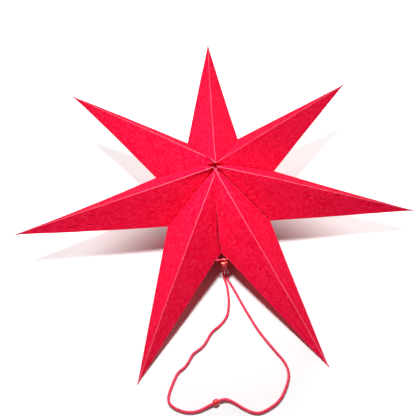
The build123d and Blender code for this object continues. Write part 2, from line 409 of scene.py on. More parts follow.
@dataclass(frozen=True)
class LacqueredBead:
    """Turned wooden bead under a thick orange-red lacquer."""

    name: str = "lacquered_bead"
    lacquer: Colour = (0.90, 0.022, 0.012)
    lacquer_deep: Colour = (0.72, 0.004, 0.004)
    thin_lacquer_and_highlight: Colour = (0.94, 0.17, 0.12)
    rim_start: float = 0.9
    rim_end: float = 0.97
    roughness: float = 0.3
    coat: float = 1.0
    coat_roughness: float = 0.22

    def material(self, effects: SheetEffects, way: Vector, bead: str) -> bpy.types.Material:
        """Builds the material on the bead's own place, paler on the ends that its bore's way points at, as thin
        lacquer and as a painted highlight.
        """
        made = bpy.data.materials.new(self.name + "_" + bead)
        made.use_nodes = True
        bench = NodeBench(made.node_tree)
        shader = made.node_tree.nodes["Principled BSDF"]
        shader.inputs["Coat Weight"].default_value = self.coat
        shader.inputs["Coat Roughness"].default_value = self.coat_roughness
        place = bench.add("ShaderNodeTexCoord").outputs["Object"]
        felt = effects.fibre.place(bench, {"Vector": place, "Cloud Scale": 320.0, "Fibre Scale": 900.0})
        pooled = bench.mix(felt["Cloud"], (*self.lacquer_deep, 1), (*self.lacquer, 1))
        facing = bench.add("ShaderNodeTexCoord").outputs["Normal"]
        along = bench.add("ShaderNodeVectorMath", {0: facing, 1: way}, operation="DOT_PRODUCT").outputs["Value"]
        # Paler ends where the lacquer thins; the paler colour also stands in for the highlight on the bead's top
        # (painted highlight).
        rim = bench.ramp(bench.math("ABSOLUTE", along), self.rim_start, self.rim_end)
        pooled = bench.mix(rim, pooled, (*self.thin_lacquer_and_highlight, 1))
        bench.tree.links.new(pooled, shader.inputs["Base Color"])
        rough = bench.ramp(felt["Fibre"], 0.0, 1.0, self.roughness, self.roughness + 0.12)
        bench.tree.links.new(rough, shader.inputs["Roughness"])
        inputs = {"Height": felt["Cloud"], "Strength": 0.2, "Distance": 0.1 * MM}
        bump = bench.add("ShaderNodeBump", inputs).outputs[0]
        bench.tree.links.new(bump, shader.inputs["Normal"])
        return made


@dataclass(frozen=True)
class PaleSweep:
    """Plain pale floor that glows white to the camera, but glows less near the slit so that the shade under the lower
    arms shows dark (painted shade).
    """

    name: str = "pale_sweep"
    paint: Colour = (0.86, 0.86, 0.86)
    glow: float = 0.72
    slit_glow: float = 0.0
    slit_place: tuple = (0.0, -0.19, 0.0)
    slit_reach: tuple = (0.12, 0.26)
    far_glow: float = 0.3
    far_reach: tuple = (0.4, 1.3)

    def material(self) -> bpy.types.Material:
        """Builds the floor's matt material."""
        made = bpy.data.materials.new(self.name)
        made.use_nodes = True
        bench = NodeBench(made.node_tree)
        shader = made.node_tree.nodes["Principled BSDF"]
        shader.inputs["Base Color"].default_value = (*self.paint, 1)
        shader.inputs["Roughness"].default_value = 0.9
        shader.inputs["Specular IOR Level"].default_value = 0.1
        shader.inputs["Emission Color"].default_value = (1, 1, 1, 1)
        path = bench.add("ShaderNodeLightPath").outputs
        seen = bench.math("MAXIMUM", path["Is Camera Ray"], path["Is Glossy Ray"])
        place = bench.add("ShaderNodeTexCoord").outputs["Object"]
        away = bench.add("ShaderNodeVectorMath", {0: place, 1: self.slit_place}, operation="DISTANCE").outputs["Value"]
        # Painted shade: near the slit the floor's glow falls to slit_glow, so the shade under the lower arms shows
        # dark there.
        glow = bench.ramp(away, *self.slit_reach, self.slit_glow, self.glow)
        glow = bench.math("ADD", glow, bench.ramp(away, *self.far_reach, 0.0, self.far_glow))
        bench.tree.links.new(bench.math("MULTIPLY", seen, glow), shader.inputs["Emission Strength"])
        return made


@dataclass(frozen=True)
class StarAxis:
    """The line that the arms stand round, from the back pole towards the front."""

    foot: Vector
    way: Vector

    @classmethod
    def of_frame(cls) -> "StarAxis":
        """Reads the axis from the fold joints, which all turn about it."""
        joint = next(one for one in frame["joints"] if one["name"].startswith("fold_"))
        return cls(Vector(joint["pos_m"]), -Vector(joint["axis"]).normalized())

    def height(self, point: Vector) -> float:
        """How far a point stands along the axis."""
        return (point - self.foot).dot(self.way)

    def out(self, point: Vector) -> Vector:
        """The way from the axis straight out to a point."""
        return (point - self.foot) - self.way * self.height(point)


@dataclass(frozen=True)
class ArmCorners:
    """Outer corners of one arm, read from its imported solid."""

    tip: Vector
    back: Vector
    before: Vector
    front: Vector
    after: Vector
    sideways: Vector

    @classmethod
    def of_node(cls, node: str, axis: StarAxis) -> "ArmCorners":
        """Finds the corners as the points furthest out, along and round the star's axis."""
        points = [vertex.co.copy() for vertex in frame["nodes"][node].data.vertices]
        tip = max(points, key=lambda point: axis.out(point).length)
        sideways = axis.way.cross(axis.out(tip)).normalized()
        return cls(
            tip=tip,
            back=min(points, key=axis.height),
            before=max(points, key=sideways.dot),
            front=max(points, key=axis.height),
            after=min(points, key=sideways.dot),
            sideways=sideways,
        )

    def ends(self) -> list[Vector]:
        """Where the four folds end at the star's middle, with the back ridge first and again last."""
        return [self.back, self.before, self.front, self.after, self.back]


@dataclass(frozen=True)
class Settling:
    """How the paper of an arm has settled, sideways towards the arm's counter-clockwise side.

    The whole arm bows by bow. Its front ridge turns off from the share ridge_start of its length on,
    until it lies ridge_turn off at the pole. Within reach of the pole its front end has drawn back by
    pull, risen by lift and moved by turn. Within tuck_reach of the pole the panel beside the ridge on
    that side is pressed in by tuck.
    """

    bow: float = 0.0
    ridge_turn: float = 0.0
    ridge_start: float = 0.5
    pull: float = 1.2 * MM
    lift: float = 0.0
    turn: float = 0.0
    reach: float = 16 * MM
    tuck: float = 0.0
    tuck_reach: float = 20 * MM


@dataclass(frozen=True)
class SeamDrift:
    """How an arm's edge of a glued valley has drifted sideways near the pole, and drawn back from its neighbour's.

    The drift fades between two shares of the valley, and the edge closes up again towards the notch.
    """

    way: Vector
    fade_from: float
    fade_to: float
    drawn_back: Vector
    pole_share: float = 0.05
    notch_share: float = 0.12

    def at(self, share: float) -> Vector:
        """The drift at a share of the way from the pole to the notch."""
        kept = 1 - smooth_step((share - self.fade_from) / (self.fade_to - self.fade_from))
        return self.way * kept + self.drawn_back * smooth_step((1 - share) / self.notch_share)

    def hold(self, reach: float, share: float) -> float:
        """How firmly a point at a share of the arm's length and of the valley's follows the valley."""
        return reach ** 3 * smooth_step(share / self.pole_share)


@dataclass
class PaperArm:
    """One arm: a sheet of four long panels, folded round a hollow, with glue flaps and a ridge tab."""

    node: str
    body: str
    fold: str
    corners: ArmCorners
    axis: StarAxis
    number: int
    settling: Settling = field(default_factory=Settling)
    hole_at: Vector | None = None
    hole_way: Vector | None = None
    covers: "PaperArm | None" = None
    lapped: bool = False
    slit_shift: Vector | None = None
    drifts: dict[int, SeamDrift] = field(default_factory=dict)
    tip_radius: float = 1.6 * MM
    thickness: float = 0.4 * MM
    fold_radius: float = 0.55 * MM
    flap_width: float = 12 * MM
    tab_width: float = 10 * MM
    hole_radius: float = 2.5 * MM
    bulge: float = 1.1 * MM
    wobble: float = 0.35 * MM
    overlap: float = 3.4 * MM
    overlap_lift: float = 1.8 * MM
    lap_shade: float = 8.0
    lap_shade_share: float = 0.45
    slit_reach: float = 15 * MM
    inner_columns: int = 9
    rows: int = 40
    folded_share: float = 0.045

    def build(self, effects: SheetEffects, paper: bpy.types.Material) -> bpy.types.Object:
        """Makes the arm's mesh, dresses it and fits it to the frame.

        Args:
            effects: the shared effect groups, not used.
            paper: the finish of both sides of the sheet.

        Returns:
            The finished piece.
        """
        piece = self.sheet()
        self.thicken(piece)
        if self.hole_at is not None:
            self.punch(piece)
        piece.data.shade_smooth()
        piece.data.set_sharp_from_angle(angle=math.radians(62))
        dress(piece, paper)
        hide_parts(self.node)
        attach(piece, self.body)
        tuple(self.corners.sideways)
        tuple(self.axis.foot)
        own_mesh(piece)
        return piece

    def column_shares(self, span: float) -> list[float]:
        """Places of the columns across a panel of a given width, closer beside its two folds."""
        close = min(self.fold_radius, span / 9)
        near = [0.0, close, 2.2 * close]
        inner_span = span - 2 * near[-1]
        inner = [near[-1] + inner_span * step / (self.inner_columns - 1) for step in range(self.inner_columns)]
        far = [span - place for place in reversed(near[:-1])]
        return [place / span for place in near[:-1] + inner + far]

    def row_shares(self, length: float) -> list[float]:
        """Places of the rows from the tip, closer at the tip and beside the valley."""
        first = 0.004
        last = 1 - 2.2 * self.fold_radius / length
        even = [first + (last - first) * (step / self.rows) ** 1.15 for step in range(self.rows + 1)]
        return even + [1 - self.fold_radius / length, 1.0]

    def sheet(self) -> bpy.types.Object:
        """Lays out the folded sheet as one surface, with its sheet coordinates and fold distances."""
        tip, ends = self.corners.tip, self.corners.ends()
        angles = [0.0]
        for one, other in zip(ends, ends[1:]):
            angles.append(angles[-1] + (one - tip).angle(other - tip))
        depth = min((end - tip).length for end in ends)
        row_shares = self.row_shares(depth)
        width = len(self.column_shares(1.0)) - 1
        columns = 4 * width
        points = [tip.copy()]
        gaps = [(0.0, 0.0, depth)]
        flat = {}
        for row, share in enumerate(row_shares):
            for panel in range(4):
                start, end = ends[panel], ends[panel + 1]
                spread = self.column_shares(share * (end - start).length)
                for column, place in enumerate(spread):
                    edge_point = start.lerp(end, place)
                    point = tip + (edge_point - tip) * share
                    angle = angles[panel] + (start - tip).angle(edge_point - tip)
                    reach = (point - tip).length
                    flat[row, panel, column] = Vector((reach * math.cos(angle), reach * math.sin(angle)))
                    if column < width:
                        near = [(point - tip).cross((one - tip).normalized()).length for one in (start, end)]
                        ridge, side = near if panel % 2 == 0 else reversed(near)
                        gaps.append((ridge, side, self.valley_gap(panel, share, place)))
                        points.append(self.settle(point, share, place, panel))
        faces, corners = [], []

        def number(row: int, panel: int, column: int) -> int:
            """Point number of a place on the panels."""
            return 1 + row * columns + (panel * width + column) % columns

        def lay(panel: int, row: int, column: int) -> None:
            """Adds the face whose lowest corner is at a place on the panels."""
            places = [(row, panel, column), (row, panel, column + 1)]
            places += [(row + 1, panel, column + 1), (row + 1, panel, column)]
            faces.append([number(*place) for place in places])
            corners.append([flat[place] for place in places])

        for panel in range(4):
            for column in range(width):
                faces.append([0, number(0, panel, column + 1), number(0, panel, column)])
                tip_corner = Vector((0, 0))
                corners.append([tip_corner, flat[0, panel, column + 1], flat[0, panel, column]])
                for row in range(len(row_shares) - 1):
                    lay(panel, row, column)
        faces = [face if len(face) == 3 else face[::-1] for face in faces]
        corners = [face if len(face) == 3 else face[::-1] for face in corners]
        last = len(row_shares) - 1
        for panel in range(4):
            self.add_flap(panel, last, number, points, gaps, faces, corners, flat, width)
        self.round_folds(points, number, len(row_shares), width)
        piece = mesh_object(self.node + "_paper", points, faces)
        self.face_outwards(piece)
        self.mark(piece, gaps, faces, corners)
        return piece

    def edge_distance(self, panel: int) -> float:
        """How far the tip lies from the valley edge at the end of a panel."""
        start, end = self.corners.ends()[panel], self.corners.ends()[panel + 1]
        return (self.corners.tip - start).cross((end - start).normalized()).length

    def valley_gap(self, panel: int, share: float, place: float) -> float:
        """How far a point lies from the nearest valley line.

        On the panel that the unglued edge laps over, that line is the lapping edge, and the painted shade beside it
        reaches further, most of all near the pole.

        Args:
            panel: the panel's number.
            share: the point's share of the way from the tip to the valley edge.
            place: its share of the way across the panel.

        Returns:
            The distance, in metres.
        """
        gap = (1 - share) * self.edge_distance(panel)
        # Painted shade beside the lapping edge, in place of the shadow that edge casts on this panel.
        if self.lapped and panel == Ray.BEFORE.value:
            reach = self.lap_shade * (place + self.lap_shade_share)
            return abs(gap - self.overlap * self.lap_rise(1 - place)) / reach
        return gap

    def panel_normal(self, panel: int) -> Vector:
        """The way out from a panel."""
        tip, ends = self.corners.tip, self.corners.ends()
        normal = (ends[panel] - tip).cross(ends[panel + 1] - tip).normalized()
        middle = (tip + self.corners.before + self.corners.after) / 3
        return normal if normal.dot(tip - middle) > 0 else -normal

    def settle(self, point: Vector, share: float, place: float, panel: int) -> Vector:
        """Moves a point of the true sheet to where the real, slightly slack paper lies.

        Args:
            point: the place on the flat panel.
            share: its share of the way from the tip to the valley edge.
            place: its share of the way across the panel.
            panel: the panel's number.

        Returns:
            The settled point.
        """
        seed = Vector((11.3 * self.number, 4.7, 1.9))
        spine = self.corners.tip.lerp((self.corners.front + self.corners.back) * HALF, share)
        out = (point - spine).length
        blunt = (math.hypot(out, self.tip_radius) / out - 1) * (1 - smooth_step(share / 0.3))
        point = point + (point - spine) * blunt
        window = smooth_step(share / 0.12) * (1 - smooth_step((share - 0.86) / 0.14))
        crown = 4 * place * (1 - place) * window
        swell = noise.noise(point / (70 * MM) + seed + Vector((0, 0, 3.1 * panel)))
        moved = point + self.panel_normal(panel) * self.bulge * crown * (swell - 0.15)
        moved += noise.noise_vector(point / (45 * MM) + seed) * self.wobble * window
        for pole, depth in ((self.corners.front, 1.0), (self.corners.back, 0.5)):
            near = math.exp(-(((point - pole).length / self.settling.reach) ** 2))
            inwards = self.axis.out(self.corners.tip).normalized()
            moved += inwards * self.settling.pull * near * depth
            if pole is self.corners.front:
                moved += self.axis.way * self.settling.lift * near
                moved += self.corners.sideways * self.settling.turn * near
        moved += self.swing(share, place, panel)
        if panel == Ray.BEFORE.value:
            moved += self.panel_normal(panel) * -self.tucked(point, share, 1 - place)
        if self.slit_shift is not None:
            corner = self.corners.after if self.covers is not None else self.corners.before
            moved += self.slit_shift * math.exp(-(((point - corner).length / self.slit_reach) ** 2))
        if self.covers is not None and panel == Ray.FRONT.value:
            moved += self.lap(share, place)
        moved.z = max(moved.z, 0.0)
        return moved

    def swing(self, share: float, place: float, panel: int) -> Vector:
        """How a point has moved with the arm's bow, the turn of its front ridge and the drift of its valley."""
        start = self.settling.ridge_start
        turned = max(0.0, (share - start) / (1 - start))
        moved = self.corners.sideways * self.settling.bow * math.sin(math.pi * share)
        if panel not in (Ray.BEFORE.value, Ray.FRONT.value):
            return moved
        across = 1 - place if panel == Ray.BEFORE.value else place
        drift = self.drifts.get(panel)
        held = drift.hold(share, across) if drift else 0.0
        moved += self.corners.sideways * self.settling.ridge_turn * turned * (1 - across) * (1 - held)
        return moved + drift.at(across) * held if drift else moved

    def tucked(self, point: Vector, share: float, across: float) -> float:
        """How far the panel beside the front ridge is pressed in, deepest a little way off the ridge."""
        reach = self.settling.tuck_reach
        near = math.exp(-(((point - self.corners.front).length / reach) ** 2))
        width = (self.corners.before - self.corners.front).length * share * across
        step = width / (0.25 * reach)
        return self.settling.tuck * near * step * math.exp(1 - step) * smooth_step((1 - across) / 0.1)

    def lap(self, share: float, place: float) -> Vector:
        """How far the unglued edge has slid over the next arm, and lifted to lie on it."""
        other = self.covers.corners
        valley = (other.before - other.front).normalized()
        slope = other.tip - other.front
        upslope = (slope - valley * slope.dot(valley)).normalized()
        normal = self.covers.panel_normal(Ray.BEFORE.value)
        hold = share ** 5
        return (upslope * self.overlap + normal * self.overlap_lift) * self.lap_rise(place) * hold

    @staticmethod
    def lap_rise(place: float) -> float:
        """How fully the unglued edge laps over, at a share of the way from the pole to the notch."""
        return smooth_step(place / 0.14) * (1 - smooth_step((place - 0.84) / 0.16))

    def add_flap(self, panel: int, last: int, number: object, points: list, gaps: list, faces: list,
                 corners: list, flat: dict, width: int) -> None:
        """Adds the glue flap that is folded in along the valley edge of a panel.

        Args:
            panel: the panel's number.
            last: number of the panels' last row.
            number: gives the point number of a place on the panels.
            points: the sheet's points, to add to.
            gaps: each point's distances from the folds, to add to.
            faces: the sheet's faces, to add to.
            corners: each face's sheet coordinates, to add to.
            flat: sheet coordinates of each place on the panels.
            width: columns in a panel.
        """
        ends = self.corners.ends()
        start, end = ends[panel], ends[panel + 1]
        pole, valley = (start, end) if panel % 2 == 0 else (end, start)
        opposite = self.corners.front if pole is self.corners.back else self.corners.back
        along = (valley - pole).normalized()
        reach = opposite - pole
        across = (reach - along * reach.dot(along)).normalized()
        length = (valley - pole).length
        if self.covers is not None and panel == Ray.FRONT.value:
            inward = -self.panel_normal(panel)
            onwards = self.corners.tip - pole
            under = (onwards - along * onwards.dot(along)).normalized()
            across = (under * math.cos(math.radians(25)) + inward * math.sin(math.radians(25))).normalized()
            opposite = self.corners.tip
        pole_angle = (valley - pole).angle(opposite - pole) * (1 if opposite is not self.corners.tip else 0.8)
        valley_angle = (pole - valley).angle(opposite - valley) * HALF
        pole_taper = self.flap_width / math.tan(pole_angle)
        valley_taper = self.flap_width / math.tan(valley_angle)
        kept = range(2, width - 1)
        reaches = (self.fold_radius, 2.2 * self.fold_radius, self.flap_width * HALF, self.flap_width)
        edge = [points[number(last, panel, column)].copy() for column in kept]
        flat_edge = [flat[last, panel, column] for column in kept]
        flat_along = (flat_edge[-1] - flat_edge[0]).normalized()
        flat_out = Vector((flat_along.y, -flat_along.x))
        if flat_out.dot(flat_edge[0]) < 0:
            flat_out = -flat_out
        table = [[number(last, panel, column) for column in kept]]
        sheet = [flat_edge]
        for reach_in in reaches:
            row, flat_row = [], []
            for step, point in enumerate(edge):
                base = pole.lerp(valley, (point - pole).dot(along) / length)
                from_pole = (base - pole).length / length
                narrowed = (pole_taper + from_pole * (length - pole_taper - valley_taper)) / length
                shift = (narrowed - from_pole) * length * reach_in / self.flap_width
                points.append(point + along * shift + across * reach_in)
                gaps.append((length, length, reach_in))
                row.append(len(points) - 1)
                flat_row.append(flat_edge[step] + flat_out * reach_in)
            table.append(row)
            sheet.append(flat_row)
        for lower in range(len(reaches)):
            for step in range(len(edge) - 1):
                places = [(lower, step), (lower + 1, step), (lower + 1, step + 1), (lower, step + 1)]
                faces.append([table[a][b] for a, b in places])
                corners.append([sheet[a][b] for a, b in places])
        self.flap_starts = getattr(self, "flap_starts", {})
        self.flap_starts[panel] = (table[1][0], kept)

    def round_folds(self, points: list, number: object, rows: int, width: int) -> None:
        """Draws each fold's middle line in, so that the fold is round and not a knife edge."""
        for row in range(rows):
            for panel in range(4):
                before = points[number(row, panel - 1, width - 1)] if panel else points[number(row, 3, width - 1)]
                after = points[number(row, panel, 1)]
                here = number(row, panel, 0)
                points[here] = points[here].lerp((before + after) * HALF, HALF)
        last = rows - 1
        for panel, (first, kept) in self.flap_starts.items():
            for step, column in enumerate(kept):
                here = number(last, panel, column)
                middle = (points[number(last - 1, panel, column)] + points[first + step]) * HALF
                points[here] = points[here].lerp(middle, HALF)

    def face_outwards(self, piece: bpy.types.Object) -> None:
        """Turns every face of the sheet the same way, out of the arm's hollow."""
        surface = bmesh.new()
        surface.from_mesh(piece.data)
        bmesh.ops.recalc_face_normals(surface, faces=surface.faces)
        surface.faces.ensure_lookup_table()
        face = min(surface.faces, key=lambda one: (one.calc_center_median() - self.front_middle()).length)
        if face.normal.dot(self.panel_normal(Ray.FRONT.value)) < 0:
            bmesh.ops.reverse_faces(surface, faces=surface.faces)
        surface.to_mesh(piece.data)
        surface.free()

    def front_middle(self) -> Vector:
        """Middle of the front panel that lies after the front ridge."""
        return (self.corners.tip + self.corners.front + self.corners.after) / 3

    def mark(self, piece: bpy.types.Object, gaps: list, faces: list, corners: list) -> None:
        """Writes the fold distances and the sheet coordinates into the mesh.

        The valley edges of the arm that laps over its neighbour are bare folds, with the same paler line as its side
        creases in place of painted shade.
        """
        if self.covers is not None:
            gaps = [(ridge, min(side, valley), 1.0) for ridge, side, valley in gaps]
        for fold, column in ((Fold.RIDGE, 0), (Fold.SIDE, 1), (Fold.VALLEY, 2)):
            layer = piece.data.attributes.new(fold.value, "FLOAT", "POINT")
            layer.data.foreach_set("value", [gap[column] for gap in gaps])
        places = {}
        for face, flat in zip(faces, corners):
            places[frozenset(face)] = dict(zip(face, flat))
        shift = Vector((0.61 * self.number, 0.37 * self.number))
        layer = piece.data.uv_layers.new(name="sheet")
        for polygon in piece.data.polygons:
            known = places[frozenset(polygon.vertices)]
            for loop in polygon.loop_indices:
                layer.data[loop].uv = known[piece.data.loops[loop].vertex_index] + shift

    def thicken(self, piece: bpy.types.Object) -> None:
        """Gives the sheet its thickness, inwards, and adds the tab inside the back ridge."""
        solid = piece.modifiers.new("thickness", "SOLIDIFY")
        solid.thickness = self.thickness
        solid.offset = -1
        solid.use_even_offset = True
        solid.use_quality_normals = True
        solid.thickness_clamp = 2.0
        apply_modifiers(piece)
        tip, pole, after = self.corners.tip, self.corners.back, self.corners.after
        inward = -self.panel_normal(Ray.AFTER.value)
        along = (pole - tip).normalized()
        across = ((after - tip) - along * (after - tip).dot(along)).normalized()
        length = (pole - tip).length
        tip_taper = self.tab_width / math.tan((pole - tip).angle(after - tip))
        pole_taper = self.tab_width / math.tan((tip - pole).angle(after - pole))
        lift = self.thickness * 1.4
        margin = 12 * MM
        outline = [tip + along * margin, tip + along * (length - margin)]
        outline += [tip + along * (length - margin - pole_taper) + across * self.tab_width]
        outline += [tip + along * (margin + tip_taper) + across * self.tab_width]
        surface = bmesh.new()
        surface.from_mesh(piece.data)
        layers = [[surface.verts.new(point + inward * (lift + step)) for point in outline]
                  for step in (0.0, self.thickness)]
        surface.faces.new(layers[0])
        surface.faces.new(layers[1][::-1])
        for step in range(4):
            ahead = (step + 1) % 4
            surface.faces.new([layers[0][ahead], layers[0][step], layers[1][step], layers[1][ahead]])
        tab = [vertex for layer in layers for vertex in layer]
        tab_faces = list({face for vertex in tab for face in vertex.link_faces})
        bmesh.ops.recalc_face_normals(surface, faces=tab_faces)
        sheet = surface.loops.layers.uv.get("sheet")
        for face in tab_faces:
            for loop in face.loops:
                loop[sheet].uv = ((loop.vert.co - tip).dot(along), (loop.vert.co - tip).dot(across) + 0.2)
        for fold in Fold:
            value = surface.verts.layers.float.get(fold.value)
            for vertex in tab:
                vertex[value] = 1.0
        surface.to_mesh(piece.data)
        surface.free()

    def punch(self, piece: bpy.types.Object) -> None:
        """Punches the tie hole through the side crease."""
        bpy.ops.mesh.primitive_cylinder_add(vertices=32, radius=self.hole_radius, depth=16 * MM,
                                            location=self.hole_at)
        cutter = bpy.context.active_object
        cutter.rotation_mode = "QUATERNION"
        cutter.rotation_quaternion = self.hole_way.to_track_quat("Z", "Y")
        bpy.context.view_layer.update()
        cut = piece.modifiers.new("hole", "BOOLEAN")
        cut.object = cutter
        cut.operation = "DIFFERENCE"
        cut.solver = "EXACT"
        apply_modifiers(piece)
        bpy.data.objects.remove(cutter)


@dataclass
class PaperStar:
    """The seven arms round the star's axis."""

    axis: StarAxis
    hole_from_notch: float = 13 * MM
    slit_closing: float = 0.42
    nodes: tuple[str, ...] = (
        "arm_top",
        "arm_upper_right",
        "arm_right",
        "arm_lower_right",
        "arm_lower_left",
        "arm_left",
        "arm_upper_left",
    )
    settlings: dict[str, Settling] = field(default_factory=lambda: {
        "arm_top": Settling(0.6 * MM, -0.8 * MM, 0.5, 0.6 * MM, 0.3 * MM),
        "arm_upper_right": Settling(0.0, 1.0 * MM, 0.0, 0.8 * MM, 0.2 * MM),
        "arm_right": Settling(-0.5 * MM, -3.2 * MM, 0.72, 2.0 * MM, -0.3 * MM),
        "arm_lower_right": Settling(0.0, -4.3 * MM, 0.25, 3.0 * MM, 0.5 * MM),
        "arm_lower_left": Settling(-0.2 * MM, 4.7 * MM, 0.35, 2.4 * MM, -1.6 * MM),
        "arm_left": Settling(1.4 * MM, 4.6 * MM, 0.4, 3.4 * MM, 0.3 * MM, tuck=2.4 * MM, tuck_reach=30 * MM),
        "arm_upper_left": Settling(-1.0 * MM, -5.2 * MM, 0.2, 0.6 * MM, 0.5 * MM, 4.6 * MM, 8 * MM,
                                   5.5 * MM, 12 * MM),
    })
    # Drift of the valley after each arm, counter-clockwise, the shares between which it fades, and its gape
    valley_drifts: dict[str, tuple] = field(default_factory=lambda: {
        "arm_top": (0.0, 0.2, 0.8, 0.0),
        "arm_upper_right": (1.4 * MM, 0.5, 1.0, 0.5 * MM),
        "arm_right": (-2.4 * MM, 0.08, 0.6, 0.7 * MM),
        "arm_lower_left": (2.8 * MM, 0.1, 0.7, 0.3 * MM),
        "arm_left": (-2.5 * MM, 0.4, 0.9, 0.0),
        "arm_upper_left": (-1.5 * MM, 0.2, 0.8, 0.0),
    })

    def tie_hole(self, corners: ArmCorners, valley: Vector) -> Vector:
        """Middle of the tie hole on the side crease that starts at a valley's end."""
        return valley + (corners.tip - valley).normalized() * self.hole_from_notch

    def build(self, effects: SheetEffects, paper: bpy.types.Material) -> None:
        """Builds the arms in order."""
        corners = {node: ArmCorners.of_node(node, self.axis) for node in self.nodes}
        left, right = corners["arm_lower_left"], corners["arm_lower_right"]
        left_hole = self.tie_hole(left, left.before)
        right_hole = self.tie_hole(right, right.after)
        way = (right_hole - left_hole).normalized()
        arms = {}
        for number, node in enumerate(self.nodes):
            side = node.removeprefix("arm_")
            fold = "fold_lower_left" if side == "lower_right" else "fold_" + side
            arms[node] = PaperArm(node, side + "_arm", fold, corners[node], self.axis, number,
                                  self.settlings[node])
        arms["arm_lower_left"].hole_at = left_hole
        arms["arm_lower_left"].hole_way = way
        arms["arm_lower_right"].hole_at = right_hole
        arms["arm_lower_right"].hole_way = way
        arms["arm_lower_right"].covers = arms["arm_lower_left"]
        arms["arm_lower_left"].lapped = True
        for node, after in zip(self.nodes, self.nodes[1:] + self.nodes[:1]):
            if node in self.valley_drifts:
                size, fade_from, fade_to, gape = self.valley_drifts[node]
                way = self.axis.way.cross(self.axis.out(corners[node].after)).normalized()
                for arm, panel, back in ((node, Ray.FRONT, HALF), (after, Ray.BEFORE, -HALF)):
                    drift = SeamDrift(way * size, fade_from, fade_to, way * gape * back)
                    arms[arm].drifts[panel.value] = drift
        gap = left.before - right.after
        arms["arm_lower_right"].slit_shift = gap * self.slit_closing
        arms["arm_lower_left"].slit_shift = -gap * self.slit_closing
        for arm in arms.values():
            piece = arm.build(effects, paper)
            log.info("%s: %d faces, on %s", piece.name, len(piece.data.polygons), arm.body)


@dataclass
class TwistedRope:
    """A round cord laid from three twisted strands, along a smooth line."""

    diameter: float = 3.6 * MM
    lay_length: float = 9.5 * MM
    strand_share: float = 0.56
    fullness: float = 1.07
    strands: int = 3
    sides: int = 8
    steps_per_lay: int = 12
    line_steps: int = 16

    def line(self, route: list[Vector]) -> list[Vector]:
        """Reads the smooth line that a route's points shape.

        Args:
            route: the control points, in metres.

        Returns:
            Points along the line, close together.
        """
        curve = bpy.data.curves.new("route", "CURVE")
        curve.dimensions = "3D"
        spline = curve.splines.new("NURBS")
        spline.points.add(len(route) - 1)
        for target, point in zip(spline.points, route):
            target.co = (*point, 1)
        spline.order_u = 3
        spline.use_endpoint_u = True
        spline.resolution_u = self.line_steps
        carrier = bpy.data.objects.new("route", curve)
        bpy.context.scene.collection.objects.link(carrier)
        graph = bpy.context.evaluated_depsgraph_get()
        mesh = bpy.data.meshes.new_from_object(carrier.evaluated_get(graph))
        points = [vertex.co.copy() for vertex in mesh.vertices]
        bpy.data.objects.remove(carrier)
        bpy.data.curves.remove(curve)
        bpy.data.meshes.remove(mesh)
        return points

    def evened(self, line: list[Vector]) -> list[Vector]:
        """Spaces a line's points by a twelfth of the lay."""
        reached = [0.0]
        for one, other in zip(line, line[1:]):
            reached.append(reached[-1] + (other - one).length)
        count = max(8, round(reached[-1] * self.steps_per_lay / self.lay_length))
        places = np.linspace(0, reached[-1], count + 1)
        axes = [np.interp(places, reached, [point[way] for point in line]) for way in range(3)]
        return [Vector(place) for place in zip(*axes)]

    def mesh(self, name: str, line: list[Vector], diameter: float | None = None) -> bpy.types.Object:
        """Twists the strands round a line.

        Args:
            name: the piece's name.
            line: the rope's middle, as points in metres.
            diameter: the rope's diameter, where it isn't the cord's own.

        Returns:
            The rope, with each strand's length and girth as sheet coordinates.
        """
        radius = (diameter or self.diameter) * HALF * self.fullness
        strand_radius = radius * self.strand_share
        ring_radius = radius - strand_radius
        points = self.evened(line)
        ways = [(after - before).normalized() for before, after in
                zip(points[:1] + points[:-1], points[1:] + points[-1:])]
        normal = ways[0].orthogonal().normalized()
        spacing = (points[1] - points[0]).length
        vertices, faces, uvs = [], [], []
        frames = []
        for way in ways:
            normal = (normal - way * normal.dot(way)).normalized()
            frames.append((way, normal.copy(), way.cross(normal)))
        for strand in range(self.strands):
            offset = len(vertices)
            for step, (point, (way, one, other)) in enumerate(zip(points, frames)):
                turn = math.tau * (step / self.steps_per_lay + strand / self.strands)
                out = one * math.cos(turn) + other * math.sin(turn)
                middle = point + out * ring_radius
                slant = math.tau * ring_radius / self.lay_length
                tangent = (way + way.cross(out) * slant).normalized()
                side = tangent.cross(out)
                for corner in range(self.sides):
                    angle = math.tau * corner / self.sides
                    vertices.append(middle + (out * math.cos(angle) + side * math.sin(angle)) * strand_radius)
            last = len(points) - 1
            for step in range(last):
                for corner in range(self.sides):
                    ahead = (corner + 1) % self.sides
                    low, high = offset + step * self.sides, offset + (step + 1) * self.sides
                    faces.append([low + corner, low + ahead, high + ahead, high + corner])
                    girth = math.tau * strand_radius
                    shares = (corner / self.sides, (corner + 1) / self.sides)
                    lengths = (step * spacing, (step + 1) * spacing)
                    uvs.append([(lengths[0], shares[0] * girth + strand * 0.05),
                                (lengths[0], shares[1] * girth + strand * 0.05),
                                (lengths[1], shares[1] * girth + strand * 0.05),
                                (lengths[1], shares[0] * girth + strand * 0.05)])
            for cap, order in ((offset, -1), (offset + last * self.sides, 1)):
                faces.append([cap + corner for corner in range(self.sides)][::order])
                uvs.append([(0.0, 0.0)] * self.sides)
        rope = mesh_object(name, vertices, faces)
        layer = rope.data.uv_layers.new(name="strand")
        layer.data.foreach_set("uv", [part for face in uvs for pair in face for part in pair])
        rope.data.shade_smooth()
        rope.data.set_sharp_from_angle(angle=math.radians(70))
        return rope


